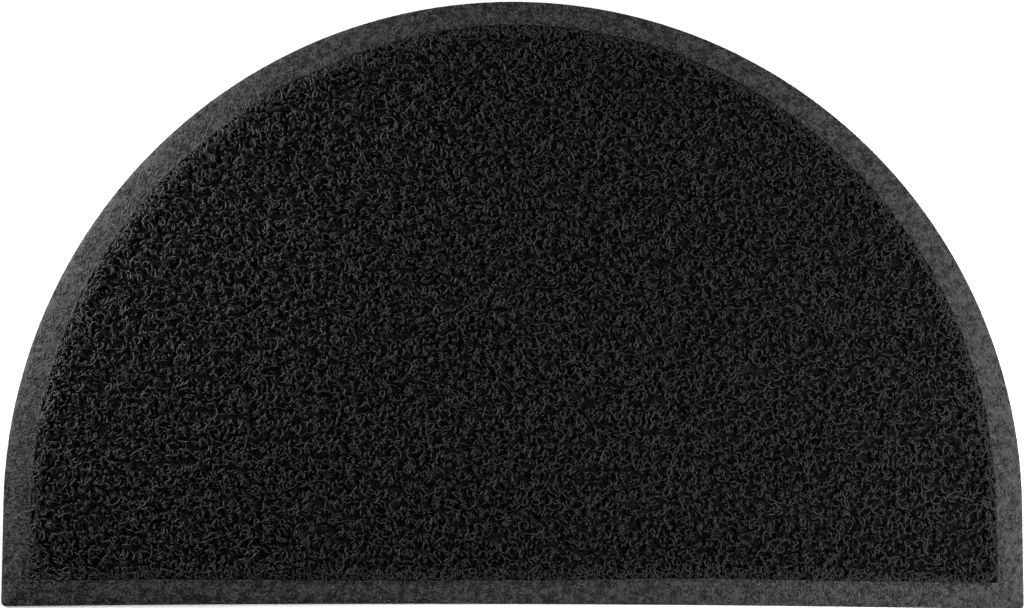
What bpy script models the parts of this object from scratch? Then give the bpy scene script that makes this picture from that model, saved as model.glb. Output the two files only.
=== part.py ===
"""Half round doormat of curled vinyl filament with a heat-pressed border.

The mat lies flat. +X runs along the straight edge, +Y from the straight edge to the top of
the arc, +Z up. The origin is the middle of the mat's bounding box, on the floor.
"""

import math
import random

import bmesh
import bpy
from mathutils import Vector, noise

# Plan of the mat, in metres: a half circle on two short straight sides
MAT_WIDTH = 0.750
MAT_DEPTH = 0.450
ARC_RADIUS = MAT_WIDTH / 2
BASE_Y = -MAT_DEPTH / 2
ARC_CENTRE_Y = MAT_DEPTH / 2 - ARC_RADIUS
BASE_BOW = 0.0028  # the straight edge draws in by this much at its middle
OUTER_CORNER = 0.0035
INNER_CORNER = 0.0020

# Pressed border
BORDER_WIDTH = 0.0200
BORDER_WANDER = 0.0004  # fine wander of the pressed line, to either side
BORDER_RIPPLE = 0.00022  # unevenness of the pressed top
RIPPLE_LENGTH = 0.024
SEAM_GAP = 0.0003

# The pressed line was set by hand, so the border is wider in some places than in others.
# Columns: place round the edge, in degrees from +X about the arc's centre; width in metres
BORDER_WIDTHS = (
    (0, 0.0210),
    (42, 0.0210),
    (56, 0.0203),
    (68, 0.0190),
    (77, 0.0185),
    (96, 0.0187),
    (108, 0.0213),
    (130, 0.0221),
    (149, 0.0213),
    (165, 0.0216),
    (178, 0.0222),
    (187, 0.0224),
    (190, 0.0189),
    (194, 0.0185),
    (206, 0.0176),
    (270, 0.0179),
    (302, 0.0184),
    (325, 0.0192),
    (341, 0.0204),
    (348, 0.0195),
    (351, 0.0194),
    (353, 0.0208),
    (360, 0.0210),
)

# Section of the border, from the floor outside, over the top, to the floor inside.
# Columns: share of the border's width, height, share of the ripple
BORDER_SECTION = (
    (0.000, 0.0000, 0.0),
    (0.000, 0.0014, 0.5),
    (0.030, 0.0021, 1.0),
    (0.120, 0.0028, 1.0),
    (0.300, 0.0037, 1.0),
    (0.550, 0.0045, 1.0),
    (0.800, 0.0050, 1.0),
    (0.880, 0.0051, 0.7),
    (0.925, 0.0056, 0.5),
    (0.980, 0.0056, 0.5),
    (1.000, 0.0052, 0.3),
    (1.000, 0.0000, 0.0),
)

# Field of curled filament
PILE_HEIGHT = 0.0092
PILE_EDGE_HEIGHT = 0.0066  # the curls are lower where the border holds them down
PILE_SHOULDER = 0.010  # and rise to their full height over this distance
LUMP_PITCH = 0.0092
LUMP_SPREAD = 0.30  # share of the pitch by which a lump leaves its row
LUMP_DEPTH = 0.0016
LUMP_SEED = 45

# Steps along the plan outline
CORNER_STEPS = 4
SIDE_STEPS = 7
ARC_STEPS = 96
BASE_STEPS = 60

WELD_DISTANCE = 0.00001
SHARP_ANGLE = 40
BLACK_VINYL = ((0.012, 0.012, 0.013), 0.42)
PRESSED_VINYL = ((0.060, 0.060, 0.062), 0.70)


def clear_scene():
    """Remove whatever the scene holds."""
    for old in list(bpy.data.objects):
        bpy.data.objects.remove(old, do_unlink=True)


def collection_named(name):
    """A new collection in the scene."""
    made = bpy.data.collections.new(name)
    bpy.context.scene.collection.children.link(made)
    return made


def material_named(name, finish):
    """A plain Principled material from a colour and a roughness."""
    colour, roughness = finish
    made = bpy.data.materials.new(name)
    made.use_nodes = True
    shader = made.node_tree.nodes["Principled BSDF"]
    shader.inputs["Base Color"].default_value = (*colour, 1.0)
    shader.inputs["Roughness"].default_value = roughness
    shader.inputs["Metallic"].default_value = 0.0
    return made


def base_line(x):
    """Y of the straight edge at x, with its slight bow."""
    return BASE_Y + BASE_BOW * max(0.0, 1 - (x / (ARC_RADIUS - OUTER_CORNER)) ** 2)


def outline(inset):
    """(point, outward normal) pairs of the plan outline moved inwards, anticlockwise."""
    radius = ARC_RADIUS - inset
    corner = max(OUTER_CORNER - inset, INNER_CORNER)
    corner_x = radius - corner
    corner_y = base_line(corner_x) + inset + corner
    found = []

    def add_arc(centre, size, start, end, steps):
        for step in range(steps + 1):
            angle = math.radians(start + (end - start) * step / steps)
            normal = Vector((math.cos(angle), math.sin(angle)))
            found.append((Vector(centre) + normal * size, normal))

    def add_side(x, start_y, end_y):
        for step in range(1, SIDE_STEPS):
            y = start_y + (end_y - start_y) * step / SIDE_STEPS
            found.append((Vector((x, y)), Vector((math.copysign(1, x), 0))))

    add_arc((corner_x, corner_y), corner, -90, 0, CORNER_STEPS)
    add_side(radius, corner_y, ARC_CENTRE_Y)
    add_arc((0, ARC_CENTRE_Y), radius, 0, 180, ARC_STEPS)
    add_side(-radius, ARC_CENTRE_Y, corner_y)
    add_arc((-corner_x, corner_y), corner, 180, 270, CORNER_STEPS)
    for step in range(1, BASE_STEPS):
        x = corner_x * (2 * step / BASE_STEPS - 1)
        found.append((Vector((x, base_line(x) + inset)), Vector((0, -1))))
    return found


def border_width(point):
    """Width of the border beside a plan point."""
    place = math.degrees(math.atan2(point.y - ARC_CENTRE_Y, point.x)) % 360
    for (start, first), (end, second) in zip(BORDER_WIDTHS, BORDER_WIDTHS[1:]):
        if place <= end:
            share = (place - start) / (end - start)
            ease = share * share * (3 - 2 * share)
            break
    turn = math.radians(place)
    wander = 0.6 * math.sin(23 * turn) + 0.4 * math.sin(41 * turn + 2)
    return first + (second - first) * ease + BORDER_WANDER * wander


def pressed_line(share, margin=0.0):
    """Plan points at a share of the border's width, and a margin further in."""
    return [
        point - normal * share * (border_width(point) - BORDER_WIDTH)
        for point, normal in outline(BORDER_WIDTH * share + margin)
    ]


def ripple(point):
    """Unevenness of the pressed top at a plan point, from about -1 to 1."""
    return noise.noise(Vector((point.x, point.y, 0)) / RIPPLE_LENGTH)


def mesh_object(name, bm, material, collection):
    """Put a bmesh into a new object, with its normals outwards."""
    bmesh.ops.recalc_face_normals(bm, faces=bm.faces)
    mesh = bpy.data.meshes.new(name)
    bm.to_mesh(mesh)
    bm.free()
    if material:
        mesh.materials.append(material)
    made = bpy.data.objects.new(name, mesh)
    collection.objects.link(made)
    return made


def border_ring(bm, width_share, height, ripple_share):
    """The corners of one closed loop of the border's loft."""
    return [
        bm.verts.new((p.x, p.y, height + BORDER_RIPPLE * ripple_share * ripple(p)))
        for p in pressed_line(width_share)
    ]


def make_border(material, collection):
    """The pressed border: its section lofted round the outline."""
    bm = bmesh.new()
    rings = [border_ring(bm, *row) for row in BORDER_SECTION]
    for ring, following in zip(rings, rings[1:] + rings[:1]):
        for place, corner in enumerate(ring):
            bm.faces.new((ring[place - 1], corner, following[place], following[place - 1]))
    border = mesh_object("border", bm, material, collection)
    border.data.shade_smooth()
    border.data.set_sharp_from_angle(angle=math.radians(SHARP_ANGLE))
    return border


def make_field_cutter(collection):
    """A prism with the field's plan outline, standing on the floor."""
    points = pressed_line(1.0, SEAM_GAP)
    curve = bpy.data.curves.new("field_outline", "CURVE")
    curve.dimensions = "2D"
    curve.fill_mode = "BOTH"
    curve.extrude = PILE_HEIGHT
    line = curve.splines.new("POLY")
    line.points.add(len(points) - 1)
    for corner, point in zip(line.points, points):
        corner.co = (point.x, point.y, 0, 1)
    line.use_cyclic_u = True
    guide = bpy.data.objects.new("field_outline", curve)
    guide.location.z = PILE_HEIGHT
    collection.objects.link(guide)

    graph = bpy.context.evaluated_depsgraph_get()
    mesh = bpy.data.meshes.new_from_object(guide.evaluated_get(graph))
    bm = bmesh.new()
    bm.from_mesh(mesh)
    bmesh.ops.remove_doubles(bm, verts=bm.verts, dist=WELD_DISTANCE)
    cutter = mesh_object("field_cutter", bm, None, collection)
    cutter.matrix_world = guide.matrix_world
    cutter.hide_render = True
    cutter.display_type = "WIRE"
    bpy.data.objects.remove(guide)
    return cutter


def depth_inside(x, y):
    """Distance of a plan point from the field's edge, negative outside it."""
    edge = BORDER_WIDTH + SEAM_GAP
    if y > ARC_CENTRE_Y:
        side = ARC_RADIUS - edge - math.hypot(x, y - ARC_CENTRE_Y)
    else:
        side = ARC_RADIUS - edge - abs(x)
    return min(side, y - base_line(x) - edge)


def pile_top(x, y, chance):
    """Height of the massed curls at a plan point."""
    rise = min(1.0, max(0.0, depth_inside(x, y) / PILE_SHOULDER))
    full = PILE_EDGE_HEIGHT + (PILE_HEIGHT - PILE_EDGE_HEIGHT) * math.sin(rise * math.pi / 2)
    return full - LUMP_DEPTH * chance.random()


def make_coil_field(cutter, material, collection):
    """The field of curls as one slab with a lumpy top, cut to the outline."""
    chance = random.Random(LUMP_SEED)
    columns = round(MAT_WIDTH / LUMP_PITCH)
    rows = round(MAT_DEPTH / LUMP_PITCH)
    spread = LUMP_PITCH * LUMP_SPREAD
    bm = bmesh.new()
    bmesh.ops.create_grid(bm, x_segments=columns, y_segments=rows, size=0.5)
    for corner in bm.verts:
        x = corner.co.x * MAT_WIDTH + spread * chance.uniform(-1, 1)
        y = corner.co.y * MAT_DEPTH + spread * chance.uniform(-1, 1)
        corner.co = (x, y, pile_top(x, y, chance))
    bmesh.ops.triangulate(bm, faces=bm.faces)
    rim = [edge for edge in bm.edges if edge.is_boundary]
    skirt = bmesh.ops.extrude_edge_only(bm, edges=rim)["geom"]
    for corner in skirt:
        if isinstance(corner, bmesh.types.BMVert):
            corner.co.z = -PILE_HEIGHT
    bmesh.ops.edgeloop_fill(bm, edges=[edge for edge in bm.edges if edge.is_boundary])
    field = mesh_object("coil_field", bm, material, collection)
    cut = field.modifiers.new("cut to the outline", "BOOLEAN")
    cut.operation = "INTERSECT"
    cut.object = cutter
    return field


def main():
    """Build the doormat."""
    clear_scene()
    mat = collection_named("half_round_doormat")
    cutters = collection_named("cutters")
    make_border(material_named("pressed_vinyl", PRESSED_VINYL), mat)
    cutter = make_field_cutter(cutters)
    make_coil_field(cutter, material_named("curled_vinyl", BLACK_VINYL), mat)


main()
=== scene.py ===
"""Looks of the half round doormat: curled vinyl filament inside a pressed border.

Sizes are in metres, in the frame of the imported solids: +X along the straight edge, +Y from the
straight edge to the top of the arc, +Z up, with the origin on the floor under the middle.
"""

import logging
import math
from collections.abc import Iterator
from dataclasses import dataclass, fields, replace
from enum import Enum
from typing import Any

import bmesh
import bpy
from mathutils import Matrix, Vector


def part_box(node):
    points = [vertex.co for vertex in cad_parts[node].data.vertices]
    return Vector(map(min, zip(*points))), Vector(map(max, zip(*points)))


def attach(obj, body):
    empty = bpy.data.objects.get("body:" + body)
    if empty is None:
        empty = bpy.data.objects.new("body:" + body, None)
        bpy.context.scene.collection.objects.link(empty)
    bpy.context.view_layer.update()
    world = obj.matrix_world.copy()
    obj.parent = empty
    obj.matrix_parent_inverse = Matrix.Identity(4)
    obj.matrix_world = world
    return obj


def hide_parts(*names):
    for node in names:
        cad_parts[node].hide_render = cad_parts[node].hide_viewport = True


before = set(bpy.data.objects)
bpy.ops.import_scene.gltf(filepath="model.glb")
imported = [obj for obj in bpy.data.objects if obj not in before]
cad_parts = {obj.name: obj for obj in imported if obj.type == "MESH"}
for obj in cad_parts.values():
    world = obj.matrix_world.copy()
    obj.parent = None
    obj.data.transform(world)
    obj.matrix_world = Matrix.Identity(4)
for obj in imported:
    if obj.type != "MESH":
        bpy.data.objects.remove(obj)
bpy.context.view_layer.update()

BODY = "root"
FULL_TURN = 2 * math.pi
MIDDLE = 0.5  # of a noise, a mask or a level, which all run from 0 to 1
OPAQUE = 1.0  # a colour's fourth value
WELD = 0.00001  # corners of a solid that are closer than this are one
LOG = logging.getLogger("doormat")

Colour = tuple[float, float, float]


class Slot(Enum):
    """Names of the material slots."""

    CURLS = "curled_vinyl"
    BORDER = "pressed_vinyl"


class Channel(Enum):
    """What a noise varies in the loops, by the offset that sets it apart from the others."""

    WIDTH = 1.7
    STRAY = 2.9
    TURN = 5.3
    ALONG = 6.1
    ACROSS = 7.7
    LEAN = 8.9


class Draw(Enum):
    """What a random number settles for a whole guide line, by its seed."""

    START = 1
    HAND = 2


class Wire:
    """An output socket. Python's operators on it add Math or Vector Math nodes."""

    def __init__(self, board: "Board", socket: bpy.types.NodeSocket) -> None:
        """Keep the socket and the board that its node lies on."""
        self.board = board
        self.socket = socket

    def _combine(self, operation: str, first: Any, second: Any) -> "Wire":
        """Join two operands in a Math node, or in a Vector Math node if one is a vector.

        Args:
            operation: The node's operation, by Blender's name.
            first: A Wire, a number or a tuple of three numbers.
            second: The same.

        Returns:
            The result.
        """
        vector = any(Board.is_vector(operand) for operand in (first, second))
        kind = "ShaderNodeVectorMath" if vector else "ShaderNodeMath"
        return self.board.wire(kind, {"operation": operation}, {0: first, 1: second})

    def __add__(self, other: Any) -> "Wire":
        """self + other."""
        return self._combine("ADD", self, other)

    def __radd__(self, other: Any) -> "Wire":
        """other + self."""
        return self._combine("ADD", other, self)

    def __sub__(self, other: Any) -> "Wire":
        """self - other."""
        return self._combine("SUBTRACT", self, other)

    def __rsub__(self, other: Any) -> "Wire":
        """other - self."""
        return self._combine("SUBTRACT", other, self)

    def __mul__(self, other: Any) -> "Wire":
        """self * other."""
        return self._combine("MULTIPLY", self, other)

    def __rmul__(self, other: Any) -> "Wire":
        """other * self."""
        return self._combine("MULTIPLY", other, self)

    def __truediv__(self, other: Any) -> "Wire":
        """self / other."""
        return self._combine("DIVIDE", self, other)

    def __rtruediv__(self, other: Any) -> "Wire":
        """other / self."""
        return self._combine("DIVIDE", other, self)


class Board:
    """Adds nodes to one tree, of a material or of Geometry Nodes."""

    def __init__(self, tree: bpy.types.NodeTree) -> None:
        """Keep the tree."""
        self.tree = tree

    @staticmethod
    def is_vector(operand: Any) -> bool:
        """Tell vectors and colours from numbers.

        Args:
            operand: A Wire, a number or a tuple of numbers.

        Returns:
            Whether it is a vector or a colour.
        """
        if isinstance(operand, Wire):
            return operand.socket.type in ("VECTOR", "RGBA")
        return hasattr(operand, "__len__")

    @staticmethod
    def _find(sockets: Any, name: str | int) -> bpy.types.NodeSocket:
        """Find a socket.

        Args:
            sockets: A node's inputs or outputs.
            name: The socket's name or place.

        Returns:
            The socket at that place, or the one in use that has the name.
        """
        if isinstance(name, int):
            return sockets[name]
        return next(socket for socket in sockets if socket.name == name and socket.enabled)

    def feed(self, node: bpy.types.Node, sockets: dict[str | int, Any]) -> None:
        """Give a node its inputs.

        Args:
            node: The node.
            sockets: What goes into its inputs, by name or place: Wires or plain values.
        """
        for name, value in sockets.items():
            socket = self._find(node.inputs, name)
            if isinstance(value, Wire):
                self.tree.links.new(value.socket, socket)
            elif socket.type == "VECTOR" and not hasattr(value, "__len__"):
                socket.default_value = (value, value, value)
            else:
                socket.default_value = value

    def add(
        self,
        kind: str,
        settings: dict[str, Any] | None = None,
        sockets: dict[str | int, Any] | None = None,
    ) -> bpy.types.Node:
        """Add one node.

        Args:
            kind: The node's type, by Blender's name.
            settings: Its properties, which are set first.
            sockets: What goes into its inputs, as in feed.

        Returns:
            The new node.
        """
        node = self.tree.nodes.new(kind)
        for name, value in (settings or {}).items():
            setattr(node, name, value)
        self.feed(node, sockets or {})
        return node

    def wire(
        self,
        kind: str,
        settings: dict[str, Any] | None = None,
        sockets: dict[str | int, Any] | None = None,
        output: str | int = 0,
    ) -> Wire:
        """Add one node, as add does, and return one of its outputs."""
        node = self.add(kind, settings, sockets)
        return Wire(self, self._find(node.outputs, output))

    def maths(self, operation: str, *operands: Any) -> Wire:
        """A Math node for an operation that has no Python operator."""
        return self.wire("ShaderNodeMath", {"operation": operation}, dict(enumerate(operands)))

    def clamp(self, value: Wire) -> Wire:
        """The value, held between 0 and 1."""
        return self.wire("ShaderNodeClamp", None, {"Value": value})

    def vector(self, x: Any, y: Any, z: Any) -> Wire:
        """A vector from three values."""
        return self.wire("ShaderNodeCombineXYZ", None, {"X": x, "Y": y, "Z": z})

    def height_of(self, vector: Wire) -> Wire:
        """The Z of a vector."""
        return self.wire("ShaderNodeSeparateXYZ", None, {"Vector": vector}, "Z")

    def noise(self, place: Wire, feature: float, detail: float = 2.0) -> Wire:
        """Noise from 0 to 1 whose features are about the given size."""
        sockets = {"Vector": place, "Scale": 1 / feature, "Detail": detail}
        return self.wire("ShaderNodeTexNoise", None, sockets, "Fac")

    def blend(self, factor: Wire, first: Colour, second: Colour) -> Wire:
        """A colour between two colours."""
        sockets = {"Factor": factor, "A": (*first, OPAQUE), "B": (*second, OPAQUE)}
        return self.wire("ShaderNodeMix", {"data_type": "RGBA"}, sockets, "Result")


class Surface(Board):
    """The board of a new Principled material."""

    def __init__(self, name: str) -> None:
        """Make the material, by its name."""
        self.material = bpy.data.materials.new(name)
        self.material.use_nodes = True
        super().__init__(self.material.node_tree)

    def place(self) -> Wire:
        """The place on the piece, as Object coordinates."""
        return self.wire("ShaderNodeTexCoord", None, None, "Object")

    def bump(self, height: Wire, depth: float) -> Wire:
        """The normals of a relief whose height runs from 0 to 1."""
        return self.wire("ShaderNodeBump", None, {"Height": height, "Distance": depth})

    def shade(self, sockets: dict[str | int, Any]) -> bpy.types.Material:
        """Feed the Principled shader, and return the material."""
        self.feed(self.tree.nodes["Principled BSDF"], sockets)
        return self.material


@dataclass(frozen=True)
class VinylFinish:
    """A vinyl surface whose tone and gloss change from place to place, and whose tone can darken
    with depth as painted shade.
    """

    name: str
    dark: Colour
    light: Colour
    patch: float  # size of the lighter and darker patches
    speckle: float  # size of the fine mottling
    mottling: float  # strength of the fine mottling
    glossy: float  # lowest roughness
    matt: float  # highest roughness
    grain: float  # size of the surface grain
    relief: float  # depth of the surface grain
    shine: float  # strength of the reflections, as Blender's Specular IOR Level
    depth_shade_from: float = -1.0  # height up to which the vinyl keeps its dark tone, as painted shade deep in the pile
    depth_shade_to: float = 0.0  # height from which the painted shade has gone
    patchiness: float = 3.0  # strength of the patches
    speckle_detail: float = 4.0
    grain_detail: float = 3.0
    gloss_contrast: float = 3.0  # how sharply the glossy and matt spots part

    def material(self) -> bpy.types.Material:
        """Build the material.

        Returns:
            A Principled material on Object coordinates.
        """
        surface = Surface(self.name)
        place = surface.place()
        patches = surface.noise(place, self.patch) - MIDDLE
        speckles = surface.noise(place, self.speckle, self.speckle_detail) - MIDDLE
        mottle = surface.clamp(patches * self.patchiness + speckles * self.mottling + MIDDLE)
        height = surface.height_of(place)
        # painted shade: the lower the vinyl lies, the darker its tone
        depth_shading = surface.clamp((height - self.depth_shade_from) / (self.depth_shade_to - self.depth_shade_from))
        spots = surface.clamp(speckles * self.gloss_contrast + MIDDLE)
        grain = surface.noise(place, self.grain, self.grain_detail)
        return surface.shade({
            "Base Color": surface.blend(mottle * depth_shading, self.dark, self.light),
            "Roughness": self.glossy + (self.matt - self.glossy) * spots,
            "Specular IOR Level": self.shine,
            "Normal": surface.bump(grain, self.relief),
        })


FILAMENT = VinylFinish(
    name="black_filament",
    dark=(0.0008, 0.0008, 0.0008),
    light=(0.0067, 0.0067, 0.0068),
    patch=0.009,
    speckle=0.0030,
    mottling=7.0,
    glossy=0.34,
    matt=0.62,
    grain=0.0004,
    relief=0.00003,
    shine=0.20,
    # painted shade: the filament darkens towards the bed, deep in the pile
    depth_shade_from=0.0,
    depth_shade_to=0.0080,
)
PRESSED = VinylFinish(
    name="pressed_charcoal",
    dark=(0.002, 0.002, 0.0021),
    light=(0.048, 0.048, 0.0485),
    patch=0.006,
    speckle=0.0027,
    mottling=6.0,
    glossy=0.42,
    matt=0.70,
    grain=0.0017,
    relief=0.0004,
    shine=0.22,
)
# painted shade: the pressed vinyl at half its tone, for the pits between the flattened curls that
# lie on this band
PITTED = VinylFinish(
    name="pressed_pits",
    dark=(0.001, 0.001, 0.0011),
    light=(0.024, 0.024, 0.0243),
    patch=0.006,
    speckle=0.0021,
    mottling=5.0,
    glossy=0.50,
    matt=0.75,
    grain=0.0018,
    relief=0.0009,
    shine=0.20,
)


@dataclass(frozen=True)
class DeepWebFinish:
    """The web under the loops, where crossing strands only just show against black. The black ground
    is the web's own black vinyl, darkened further as painted shade deep under the loops, and the
    patches where the strands fade out are painted shade too.
    """

    name: str = "deep_web"
    # painted shade: a ground darker than the filament's own darkest tone
    black: Colour = (0.0003, 0.0003, 0.0003)
    strand: Colour = (0.0115, 0.0115, 0.0117)
    loop: float = 0.0042  # size of the strands' loops
    loop_detail: float = 1.0
    thickness: float = 0.075  # share of the noise's range that a strand takes
    layers: int = 3
    patch: float = 0.012  # size of the patches where the strands fade into painted shade
    patch_contrast: float = 3.0  # how sharply those patches begin
    patch_middle: float = 0.75  # how much of a strand's tone is left half way into one
    relief: float = 0.0006
    roughness: float = 0.65
    shine: float = 0.05

    def material(self) -> bpy.types.Material:
        """Build the material: the strands are the level lines of several noises.

        Returns:
            A Principled material on Object coordinates.
        """
        surface = Surface(self.name)
        place = surface.place()
        web = self._strands(surface, place)
        for layer in range(1, self.layers):
            strands = self._strands(surface, place + (0.0, 0.0, layer))
            web = surface.maths("MAXIMUM", web, strands)
        # painted shade: patches where the strands fade into the black ground
        patches = surface.noise(place, self.patch) - MIDDLE
        shade_fade = surface.clamp(patches * self.patch_contrast + self.patch_middle)
        return surface.shade({
            "Base Color": surface.blend(web * shade_fade, self.black, self.strand),
            "Roughness": self.roughness,
            "Specular IOR Level": self.shine,
            "Normal": surface.bump(web, self.relief),
        })

    def _strands(self, surface: Surface, place: Wire) -> Wire:
        """1 on the level lines of one noise, falling to 0 beside them."""
        noise = surface.noise(place, self.loop, self.loop_detail)
        return surface.clamp(1.0 - surface.maths("ABSOLUTE", noise - MIDDLE) / self.thickness)


def put(name: str, data: Any) -> bpy.types.Object:
    """Add an object to the scene, at the origin.

    Args:
        name: Its name.
        data: Its mesh, light or camera.

    Returns:
        The object.
    """
    made = bpy.data.objects.new(name, data)
    bpy.context.scene.collection.objects.link(made)
    return made


def mesh_from(name: str, bm: bmesh.types.BMesh) -> bpy.types.Mesh:
    """Turn a bmesh into a mesh, and free it.

    Args:
        name: The mesh's name.
        bm: The bmesh.

    Returns:
        The mesh.
    """
    mesh = bpy.data.meshes.new(name)
    bm.to_mesh(mesh)
    bm.free()
    return mesh


def sides_of(loop: list[Any]) -> Iterator[tuple[Any, Any]]:
    """Each point of a closed loop with the one after it."""
    return zip(loop, loop[1:] + loop[:1])


def flat_area(loop: list[Vector]) -> float:
    """Area inside a closed plan loop."""
    return abs(sum(a.x * b.y - a.y * b.x for a, b in sides_of(loop))) / 2


def plan_lines(lines: list[list[Vector]], closed: bool) -> bmesh.types.BMesh:
    """Draw plan lines as edges on the floor.

    Args:
        lines: The points of each line.
        closed: Whether each line runs back to its first point.

    Returns:
        A bmesh of the edges.
    """
    bm = bmesh.new()
    for line in lines:
        corners = [bm.verts.new((point.x, point.y, 0.0)) for point in line]
        for ends in sides_of(corners) if closed else zip(corners, corners[1:]):
            bm.edges.new(ends)
    return bm


def flat_region(name: str, loops: list[list[Vector]]) -> bpy.types.Object:
    """Fill the floor inside a closed plan loop, or between two.

    Args:
        name: The region's name.
        loops: The loops.

    Returns:
        A flat helper object, which is removed again once filament has been wound in it.
    """
    bm = plan_lines(loops, closed=True)
    bmesh.ops.triangle_fill(bm, edges=bm.edges, use_beauty=True)
    return put(name, mesh_from(name, bm))


def dress(piece: bpy.types.Object) -> bpy.types.Object:
    """Make a piece ride on the mat.

    Args:
        piece: The piece, with its finish.

    Returns:
        The same piece.
    """
    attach(piece, BODY)
    return piece


@dataclass(frozen=True)
class Winding:
    """How a filament is wound in loops along its guide lines. Each field is a tree input."""

    strand: float  # width of the filament
    flatness: float  # its height, as a share of its width
    loop_radius: float
    loop_spread: float  # by which share a loop is wider or narrower
    skew: float  # how far a loop departs from a circle
    stretch: float  # how much longer a loop is along Y than along X
    advance: float  # way along the guide line for each turn
    steps: float  # points for each turn
    drift: float  # how far the loops stray from the guide line
    lean: float  # how far a loop leans over, as a share of the height that it may take
    unrest: float  # how far whole clumps lie higher or lower, as the same share
    share_low: float  # lowest height, as a share of the bed's
    share_high: float  # highest height, as a share of the bed's
    lift_low: float  # added to the lowest height
    lift_high: float  # added to the highest height
    seed: float

    @staticmethod
    def label(name: str) -> str:
        """The tree input that stands for a field."""
        return name.replace("_", " ").title()


class LoopTree:
    """Geometry Nodes that wind a filament along guide lines, on a bed and inside a plan.

    The bed is the solid whose top the filament follows. The plan is a flat mesh: loops that
    would leave it fold back inwards.
    """

    LOOP_FEATURE = 0.007  # size of the noise that varies the loops
    LOOP_DETAIL = 1.0
    CLUMP_FEATURE = 0.014  # size of the higher and lower clumps
    SWING = 4.0  # brings a noise's way from its middle to about -1 to 1
    TURN_UNREST = 4.5  # radians by which the turning runs ahead or behind
    LEAN_UNREST = 6.25  # radians by which the side that a loop leans to wanders
    ROW_STRIDE = 3.71  # sets the noise of one guide line apart from the next
    FOLD_BACK = 1.7  # how far a loop folds back, as a share of what would stick out
    DROP = 0.1  # height from which the bed is sought
    SIDES = 3  # of the filament's section

    def __init__(self) -> None:
        """Make the tree with its named inputs."""
        self.tree = bpy.data.node_groups.new("filament_loops", "GeometryNodeTree")
        self.inputs: dict[str, str] = {}
        self._declare("Guide Lines", "NodeSocketGeometry")
        for item in fields(Winding):
            self._declare(Winding.label(item.name), "NodeSocketFloat")
        self._declare("Bed", "NodeSocketObject")
        self._declare("Plan", "NodeSocketObject")
        self._declare("Finish", "NodeSocketMaterial")
        self.tree.interface.new_socket("Filament", in_out="OUTPUT", socket_type="NodeSocketGeometry")
        self.board = Board(self.tree)
        self.source = self.tree.nodes.new("NodeGroupInput")
        self._lay_out()

    def _declare(self, name: str, kind: str) -> None:
        """Add a named input to the tree."""
        item = self.tree.interface.new_socket(name, in_out="INPUT", socket_type=kind)
        self.inputs[name] = item.identifier

    def _given(self, name: str) -> Wire:
        """The tree's input of this name."""
        return Wire(self.board, self.source.outputs[name])

    def _between(self, low: str, high: str, level: Wire) -> Wire:
        """A value between two of the tree's inputs."""
        return self._given(low) + (self._given(high) - self._given(low)) * level

    def _solid(self, name: str) -> Wire:
        """The geometry of an object input."""
        sockets = {"Object": self._given(name)}
        return self.board.wire("GeometryNodeObjectInfo", None, sockets, "Geometry")

    def _row(self) -> Wire:
        """The number of the guide line."""
        return self.board.wire("GeometryNodeCurveOfPoint", None, None, "Curve Index")

    def _noise(self, channel: Channel, output: str = "Fac") -> Wire:
        """Noise that varies along each guide line.

        Args:
            channel: What it varies.
            output: The noise node's output: Fac for a number, Color for a vector.

        Returns:
            The noise, from about -1 to 1.
        """
        sockets = {
            "Vector": self.board.wire("GeometryNodeInputPosition"),
            "W": self._given("Seed") + self._row() * self.ROW_STRIDE + channel.value,
            "Scale": 1 / self.LOOP_FEATURE,
            "Detail": self.LOOP_DETAIL,
        }
        settings = {"noise_dimensions": "4D"}
        noise = self.board.wire("ShaderNodeTexNoise", settings, sockets, output)
        return (noise - MIDDLE) * self.SWING

    def _clump(self, flat: Wire) -> Wire:
        """Noise from about -1 to 1 over the plan, the same for all guide lines."""
        return (self.board.noise(flat, self.CLUMP_FEATURE) - MIDDLE) * self.SWING

    def _chance(self, low: float, high: float, draw: Draw) -> Wire:
        """A random number for each guide line."""
        sockets = {"Min": low, "Max": high, "ID": self._row(), "Seed": draw.value}
        return self.board.wire("FunctionNodeRandomValue", None, sockets, "Value")

    def _turning(self) -> Wire:
        """Turn the filament along its guide line.

        Returns:
            The angle through which it has turned at each point, which runs unevenly.
        """
        along = self.board.wire("GeometryNodeSplineParameter", None, None, "Length")
        turn = along / self._given("Advance") * FULL_TURN
        start = self._chance(0.0, FULL_TURN, Draw.START)
        return turn + start + self._noise(Channel.TURN) * self.TURN_UNREST

    def _in_plan(self, turn: Wire) -> Wire:
        """Lay each point on its skewed loop, and fold it back inside the plan.

        Args:
            turn: The filament's angle there.

        Returns:
            The point's plan place.
        """
        board = self.board
        hand = board.maths("SIGN", self._chance(-1.0, 1.0, Draw.HAND))
        spread = 1.0 + self._noise(Channel.WIDTH) * self._given("Loop Spread")
        radius = self._given("Loop Radius") * spread
        skew = self._given("Skew")
        stretched = board.vector(0.0, self._given("Stretch"), 0.0)
        across = self._noise(Channel.ACROSS, "Color") * skew + (1.0, 0.0, 0.0)
        along = self._noise(Channel.ALONG, "Color") * skew + stretched
        loop = across * (radius * board.maths("COSINE", turn))
        loop = loop + along * (radius * board.maths("SINE", turn) * hand)
        stray = self._noise(Channel.STRAY, "Color") * self._given("Drift")
        place = board.wire("GeometryNodeInputPosition")
        flat = (place + loop + stray) * (1.0, 1.0, 0.0)
        sockets = {"Geometry": self._solid("Plan"), "Sample Position": flat}
        near = board.wire("GeometryNodeProximity", {"target_element": "FACES"}, sockets, "Position")
        return flat + (near - flat) * self.FOLD_BACK

    def _bed_top(self, flat: Wire) -> Wire:
        """Find the bed's top by a ray from above.

        Args:
            flat: Plan places.

        Returns:
            The top's height at each place.
        """
        sockets = {
            "Target Geometry": self._solid("Bed"),
            "Source Position": flat + (0.0, 0.0, self.DROP),
            "Ray Direction": (0.0, 0.0, -1.0),
            "Ray Length": 2 * self.DROP,
        }
        hit = self.board.wire("GeometryNodeRaycast", None, sockets, "Hit Position")
        return self.board.height_of(hit)

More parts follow.
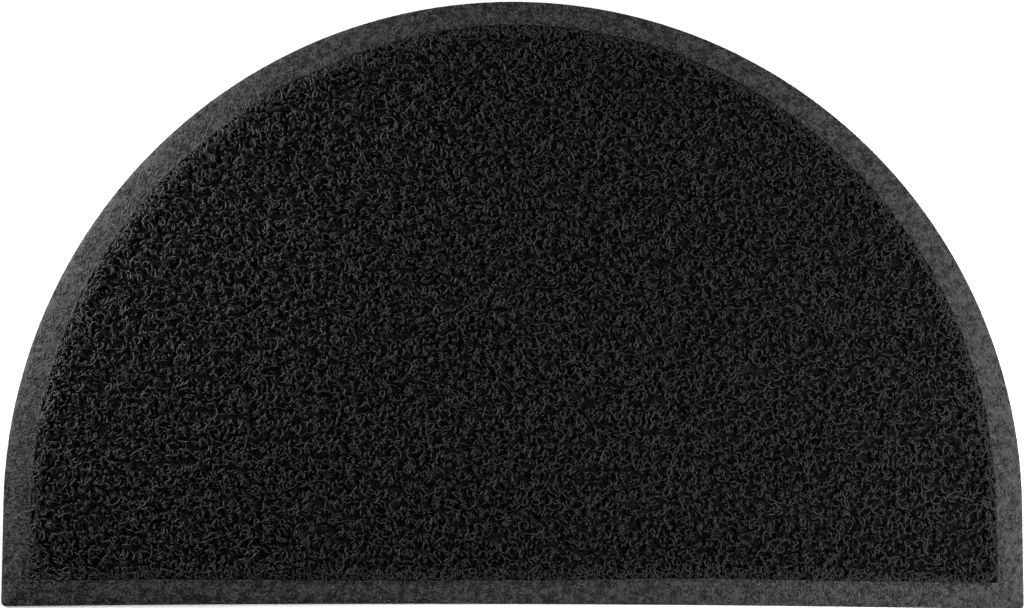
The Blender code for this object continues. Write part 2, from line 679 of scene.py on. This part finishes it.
    def _height(self, flat: Wire, turn: Wire) -> Wire:
        """Raise each point, by the lean of its loop and by the clump that it lies in.

        Args:
            flat: The point's plan place.
            turn: The filament's angle there.

        Returns:
            The point's height above the floor.
        """
        leaning = self.board.maths("COSINE", turn - self._noise(Channel.LEAN) * self.LEAN_UNREST)
        clump = self._clump(flat) * self._given("Unrest")
        level = self.board.clamp(MIDDLE + clump + leaning * self._given("Lean"))
        share = self._between("Share Low", "Share High", level)
        return self._bed_top(flat) * share + self._between("Lift Low", "Lift High", level)

    def _profile(self) -> Wire:
        """Make the filament's section.

        Returns:
            A triangle that is flat on top, squeezed to the filament's height.
        """
        board = self.board
        radius = self._given("Strand") / (2 * math.sin(math.pi / self.SIDES))
        sockets = {"Resolution": self.SIDES, "Radius": radius}
        ring = board.wire("GeometryNodeCurvePrimitiveCircle", None, sockets, "Curve")
        sockets = {
            "Geometry": ring,
            "Rotation": (0.0, 0.0, math.pi / 2),
            "Scale": board.vector(1.0, self._given("Flatness"), 1.0),
        }
        return board.wire("GeometryNodeTransform", None, sockets)

    def _lay_out(self) -> None:
        """Join the tree's nodes from the guide lines to the finished filament."""
        board = self.board
        line = board.wire("GeometryNodeMeshToCurve", None, {"Mesh": self._given("Guide Lines")})
        step = self._given("Advance") / self._given("Steps")
        sockets = {"Curve": line, "Length": step}
        line = board.wire("GeometryNodeResampleCurve", {"mode": "LENGTH"}, sockets)
        turn = self._turning()
        flat = self._in_plan(turn)
        place = flat + board.vector(0.0, 0.0, self._height(flat, turn))
        line = board.wire("GeometryNodeSetPosition", None, {"Geometry": line, "Position": place})
        line = board.wire("GeometryNodeSetCurveNormal", {"mode": "Z_UP"}, {"Curve": line})
        sockets = {"Curve": line, "Profile Curve": self._profile(), "Fill Caps": True}
        tube = board.wire("GeometryNodeCurveToMesh", None, sockets)
        tube = board.wire("GeometryNodeSetShadeSmooth", None, {"Geometry": tube})
        tube = board.wire("GeometryNodeRealizeInstances", None, {"Geometry": tube})
        sockets = {"Geometry": tube, "Material": self._given("Finish")}
        tube = board.wire("GeometryNodeSetMaterial", None, sockets)
        board.add("NodeGroupOutput", None, {"Filament": tube})

    def wind(
        self,
        name: str,
        guides: bpy.types.Mesh,
        winding: Winding,
        bed: bpy.types.Object,
        plan: bpy.types.Object,
        finish: bpy.types.Material,
    ) -> bpy.types.Object:
        """Wind one piece of filament.

        Args:
            name: The piece's name.
            guides: Its guide lines, as a mesh of edges.
            winding: The loops' sizes.
            bed: The solid whose top it follows.
            plan: The flat mesh that it stays inside.
            finish: Its material.

        Returns:
            The finished piece, a plain mesh.
        """
        holder = put(name + "_guides", guides)
        loops = holder.modifiers.new("loops", "NODES")
        loops.node_group = self.tree
        for item in fields(Winding):
            loops[self.inputs[Winding.label(item.name)]] = float(getattr(winding, item.name))
        loops[self.inputs["Bed"]] = bed
        loops[self.inputs["Plan"]] = plan
        loops[self.inputs["Finish"]] = finish
        graph = bpy.context.evaluated_depsgraph_get()
        mesh = bpy.data.meshes.new_from_object(holder.evaluated_get(graph))
        holder.modifiers.clear()
        bpy.data.objects.remove(holder)
        mesh.name = name
        return put(name, mesh)


class MatPlan:
    """The mat's plan outline and the field's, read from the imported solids' undersides."""

    UNDERSIDE = 0.00005  # corners lower than this are on the underside
    DECIMALS = 6  # of a corner's place in metres, so that it is found only once
    FAR = 0.008  # the outer outline is further than this from the field's

    def __init__(self) -> None:
        """Read both outlines, in order round the arc's centre."""
        low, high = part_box("border")
        self.centre = Vector((0.0, high.y - (high.x - low.x) / 2))
        self.inner = self._in_order(self._underside("coil_field"))
        edge = [
            point
            for point in self._underside("border")
            if min((point - other).length for other in self.inner) > self.FAR
        ]
        self.outer = self._in_order(edge)

    def _underside(self, node: str) -> list[Vector]:
        """Read the corners of a solid's underside.

        Args:
            node: The solid's node.

        Returns:
            Their plan points, each once.
        """
        found = {
            (round(corner.co.x, self.DECIMALS), round(corner.co.y, self.DECIMALS))
            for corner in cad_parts[node].data.vertices
            if corner.co.z < self.UNDERSIDE
        }
        return [Vector(point) for point in found]

    def _angle(self, point: Vector) -> float:
        """Direction of a plan point from the arc's centre."""
        away = point - self.centre
        return math.atan2(away.y, away.x)

    def _in_order(self, points: list[Vector]) -> list[Vector]:
        """The points, anticlockwise."""
        return sorted(points, key=self._angle)

    def _reach(self, loop: list[Vector], angle: float) -> float:
        """Cross a loop with a ray from the arc's centre.

        Args:
            loop: The closed plan loop.
            angle: The ray's direction.

        Returns:
            How far from the centre the ray crosses it.
        """
        angles = [self._angle(point) for point in loop]
        after = next((place for place, other in enumerate(angles) if other >= angle), 0)
        first, second = loop[after - 1], loop[after]
        ray = Vector((math.cos(angle), math.sin(angle)))
        edge = second - first
        start = first - self.centre
        cross = ray.x * edge.y - ray.y * edge.x
        return (start.x * edge.y - start.y * edge.x) / cross

    def between(self, share: float, count: int) -> list[Vector]:
        """Lay points round the border.

        Args:
            share: 0 at the mat's edge, 1 at the field's, and more inside the field.
            count: How many points.

        Returns:
            The points, anticlockwise.
        """
        found = []
        for step in range(count):
            angle = FULL_TURN * step / count - math.pi
            ray = Vector((math.cos(angle), math.sin(angle)))
            reach = self._reach(self.outer, angle) * (1 - share)
            reach += self._reach(self.inner, angle) * share
            found.append(self.centre + ray * reach)
        return found

    @staticmethod
    def inset(loop: list[Vector], distance: float) -> list[Vector]:
        """Move an anticlockwise plan loop inwards.

        Args:
            loop: The loop.
            distance: How far, in small steps only. Below 0 it moves outwards.

        Returns:
            The moved loop.
        """
        found = []
        for before, point, after in zip(loop[-1:] + loop, loop, loop[1:] + loop[:1]):
            run = (after - before).normalized()
            found.append(point + Vector((-run.y, run.x)) * distance)
        return found

    def rows(self, pitch: float, margin: float) -> list[list[Vector]]:
        """Lay parallel lines across the field.

        Args:
            pitch: From one line to the next.
            margin: How far the lines stay from the field's edge.

        Returns:
            The two ends of each line.
        """
        loop = self.inset(self.inner, margin)
        low = min(point.y for point in loop)
        high = max(point.y for point in loop)
        count = round((high - low) / pitch)
        found = []
        for row in range(count):
            y = low + (high - low) * (row + 0.5) / count
            crossings = [
                a.x + (b.x - a.x) * (y - a.y) / (b.y - a.y)
                for a, b in sides_of(loop)
                if (a.y > y) != (b.y > y)
            ]
            found.append([Vector((min(crossings), y)), Vector((max(crossings), y))])
        return found


@dataclass
class CoilField:
    """The field of curled filament: a dense lower web and loops of filament over it."""

    layers: int = 5
    row_pitch: float = 0.0049  # from one guide line to the next, which is in the next layer
    row_margin: float = 0.0022  # how far the guide lines end from the field's edge
    edge_margin: float = 0.0004  # how far the curls' centre lines stay inside the field
    edge_lines: tuple[float, ...] = (1.03, 1.13, 1.26)  # guide lines inside the edge, which is at 1
    edge_points: int = 720  # on each of those lines
    edge_spill: float = 0.0006  # how far their curls may lie past the edge, over the border's lip
    edge_share_low: float = 0.56  # those curls' lowest height, as a share of the bed's
    edge_share_high: float = 1.0  # and their highest
    bed_growth: float = 1.012  # widens the bed so that it reaches under every curl
    seed_step: float = 17.0  # from one layer's seed to the next
    web_share: float = 0.40  # the lower web's height, as a share of the field's
    winding: Winding = Winding(
        strand=0.00116,
        flatness=1.0,
        loop_radius=0.0019,
        loop_spread=0.45,
        skew=0.75,
        stretch=1.15,
        advance=0.0030,
        steps=7.4,
        drift=0.0045,
        lean=0.48,
        unrest=0.20,
        share_low=0.44,
        share_high=0.98,
        lift_low=0.0,
        lift_high=-0.0002,
        seed=11.0,
    )

    def lower_web(self) -> bpy.types.Object:
        """Make the dense lower web: the solid's own form, at part of its height.

        Returns:
            The piece, which replaces the solid.
        """
        bm = bmesh.new()
        bm.from_mesh(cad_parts["coil_field"].data)
        bmesh.ops.remove_doubles(bm, verts=bm.verts, dist=WELD)
        bmesh.ops.scale(bm, vec=(1.0, 1.0, self.web_share), verts=bm.verts)
        mesh = mesh_from("web_core", bm)
        mesh.materials.append(DeepWebFinish().material())
        web = put("web_core", mesh)
        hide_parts("coil_field")
        return dress(web)

    def wide_bed(self) -> bpy.types.Object:
        """Make a bed for the curls from the field's solid, a little wider.

        Returns:
            A helper object, which is removed again once the curls are wound.
        """
        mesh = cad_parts["coil_field"].data.copy()
        low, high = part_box("coil_field")
        centre = Vector(((low.x + high.x) / 2, (low.y + high.y) / 2, 0.0))
        grow = Matrix.Diagonal((self.bed_growth, self.bed_growth, 1.0, 1.0))
        mesh.transform(Matrix.Translation(centre) @ grow @ Matrix.Translation(-centre))
        return put("wide_bed", mesh)

    def curls(self, tree: LoopTree, plan: MatPlan) -> list[bpy.types.Object]:
        """Wind the loops, in layers whose guide lines lie between each other's.

        Args:
            tree: The nodes that wind them.
            plan: The mat's plan.

        Returns:
            One piece for each layer, and one for the loops along the border.
        """
        inside = flat_region("field_region", [MatPlan.inset(plan.inner, self.edge_margin)])
        over_lip = flat_region("lip_region", [MatPlan.inset(plan.inner, -self.edge_spill)])
        bed = self.wide_bed()
        finish = FILAMENT.material()
        rows = plan.rows(self.row_pitch, self.row_margin)
        made = []
        for layer in range(self.layers):
            lines = mesh_from("rows", plan_lines(rows[layer :: self.layers], closed=False))
            winding = replace(self.winding, seed=self.winding.seed + layer * self.seed_step)
            piece = tree.wind(f"curls_{layer + 1}", lines, winding, bed, inside, finish)
            made.append(dress(piece))
        edges = [plan.between(share, self.edge_points) for share in self.edge_lines]
        lines = mesh_from("edges", plan_lines(edges, closed=True))
        winding = replace(
            self.winding,
            seed=self.winding.seed + self.layers * self.seed_step,
            share_low=self.edge_share_low,
            share_high=self.edge_share_high,
        )
        piece = tree.wind("edge_curls", lines, winding, bed, over_lip, finish)
        made.append(dress(piece))
        for helper in (inside, over_lip, bed):
            bpy.data.objects.remove(helper)
        return made


@dataclass
class PressedBorder:
    """The border: the solid itself, and over it the filament that the press has flattened."""

    lines: int = 6
    first_line: float = 0.12  # place of the outermost guide line, as a share of the width
    last_line: float = 0.91  # and of the innermost
    line_points: int = 720
    outer_margin: float = 0.0007  # how far the filament's centre line stays from the mat's edge
    inner_reach: float = 0.0006  # and from the field's
    winding: Winding = Winding(
        strand=0.0011,
        flatness=0.50,
        loop_radius=0.0019,
        loop_spread=0.45,
        skew=0.75,
        stretch=1.0,
        advance=0.0030,
        steps=7.4,
        drift=0.0030,
        lean=0.44,
        unrest=0.40,
        share_low=1.0,
        share_high=1.0,
        lift_low=-0.00060,
        lift_high=0.00025,
        seed=101.0,
    )

    def band(self) -> bpy.types.Object:
        """Dress the solid itself.

        Returns:
            The solid with its finish.
        """
        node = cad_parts["border"]
        node.data.materials.clear()
        # painted shade in the pits between the pressed curls
        node.data.materials.append(PITTED.material())
        return node

    def curls(self, tree: LoopTree, plan: MatPlan) -> bpy.types.Object:
        """Wind the flattened filament.

        Args:
            tree: The nodes that wind it.
            plan: The mat's plan.

        Returns:
            The piece.
        """
        outer = MatPlan.inset(plan.outer, self.outer_margin)
        inner = MatPlan.inset(plan.inner, -self.inner_reach)
        region = flat_region("border_region", [outer, inner])
        shares = [
            self.first_line + (self.last_line - self.first_line) * line / (self.lines - 1)
            for line in range(self.lines)
        ]
        lines = [plan.between(share, self.line_points) for share in shares]
        guides = mesh_from("pressed_curls", plan_lines(lines, closed=True))
        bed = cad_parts["border"]
        finish = PRESSED.material()
        piece = tree.wind("pressed_curls", guides, self.winding, bed, region, finish)
        bpy.data.objects.remove(region)
        return dress(piece)


@dataclass(frozen=True)
class SoftBox:
    """A square area light that faces the mat."""

    name: str
    azimuth: float  # degrees from +X towards +Y
    elevation: float
    distance: float
    side: float
    watts: float

    def place(self) -> None:
        """Add the light."""
        lamp = bpy.data.lights.new(self.name, "AREA")
        lamp.shape = "SQUARE"
        lamp.size = self.side
        lamp.energy = self.watts
        turn = math.radians(self.azimuth)
        rise = math.radians(self.elevation)
        flat = math.cos(rise)
        away = Vector((flat * math.cos(turn), flat * math.sin(turn), math.sin(rise)))
        made = put(self.name, lamp)
        made.location = away * self.distance
        made.rotation_euler = away.to_track_quat("Z", "Y").to_euler()
        made.visible_camera = False


@dataclass
class Studio:
    """A white floor, soft lights and a camera that looks almost straight down."""

    frame_width: int = 1024  # of the picture, in pixels
    focal_pixels: float = 1600.0  # the focal length, in the same pixels
    sensor: float = 36.0  # millimetres
    distance: float = 1.187  # from the camera to the place that it looks at
    tilt: float = 3.21  # degrees by which its view leans towards the arc
    roll: float = 0.187  # degrees
    aim: tuple[float, float] = (-0.0011, -0.0017)  # the place that it looks at
    floor_size: float = 60.0
    floor_tone: float = 0.86
    floor_roughness: float = 0.9
    sky_colour: Colour = (1.0, 1.0, 1.0)
    sky: float = 0.11  # its strength
    lights: tuple[SoftBox, ...] = (
        SoftBox("rim", azimuth=160, elevation=13, distance=0.72, side=0.55, watts=14.0),
        SoftBox("front", azimuth=-58, elevation=24, distance=0.80, side=0.35, watts=1.8),
        SoftBox("key", azimuth=-6, elevation=36, distance=0.85, side=0.85, watts=17.4),
    )

    def floor(self) -> None:
        """Add the floor."""
        bm = bmesh.new()
        bmesh.ops.create_grid(bm, x_segments=1, y_segments=1, size=self.floor_size / 2)
        mesh = mesh_from("floor", bm)
        white = (*[self.floor_tone] * 3, OPAQUE)
        sockets = {"Base Color": white, "Roughness": self.floor_roughness}
        mesh.materials.append(Surface("floor_white").shade(sockets))
        floor = put("floor", mesh)

    def light(self) -> None:
        """Add the lights and the dim sky."""
        for lamp in self.lights:
            lamp.place()
        world = bpy.data.worlds.new("studio")
        world.use_nodes = True
        sockets = {"Color": (*self.sky_colour, OPAQUE), "Strength": self.sky}
        Board(world.node_tree).feed(world.node_tree.nodes["Background"], sockets)
        bpy.context.scene.world = world

    def camera(self) -> None:
        """Add the camera."""
        lens = bpy.data.cameras.new("camera")
        lens.sensor_width = self.sensor
        lens.lens = self.focal_pixels / self.frame_width * self.sensor
        lean = Matrix.Rotation(math.radians(self.tilt), 4, "X")
        turn = Matrix.Rotation(math.radians(self.roll), 4, "Z")
        back = Matrix.Translation((0.0, 0.0, self.distance))
        aim = Matrix.Translation((*self.aim, 0.0))
        made = put("camera", lens)
        made.matrix_world = aim @ lean @ back @ turn
        bpy.context.scene.camera = made


def report(piece: bpy.types.Object) -> None:
    """Log a piece's name and its count of triangles."""
    piece.data.calc_loop_triangles()
    LOG.info("%s: %d triangles", piece.name, len(piece.data.loop_triangles))


def main() -> None:
    """Build the doormat's looks and the studio."""
    logging.basicConfig(level=logging.INFO, format="%(name)s %(message)s")
    bpy.context.scene.view_settings.view_transform = "Standard"
    plan = MatPlan()
    tree = LoopTree()
    field = CoilField()
    border = PressedBorder()
    web = field.lower_web()
    curls = field.curls(tree, plan)
    band = border.band()
    pressed = border.curls(tree, plan)
    for piece in (web, *curls, band, pressed):
        report(piece)
    flat_area(plan.outer)
    studio = Studio()
    studio.floor()
    studio.light()
    studio.camera()


if __name__ == "__main__":
    main()
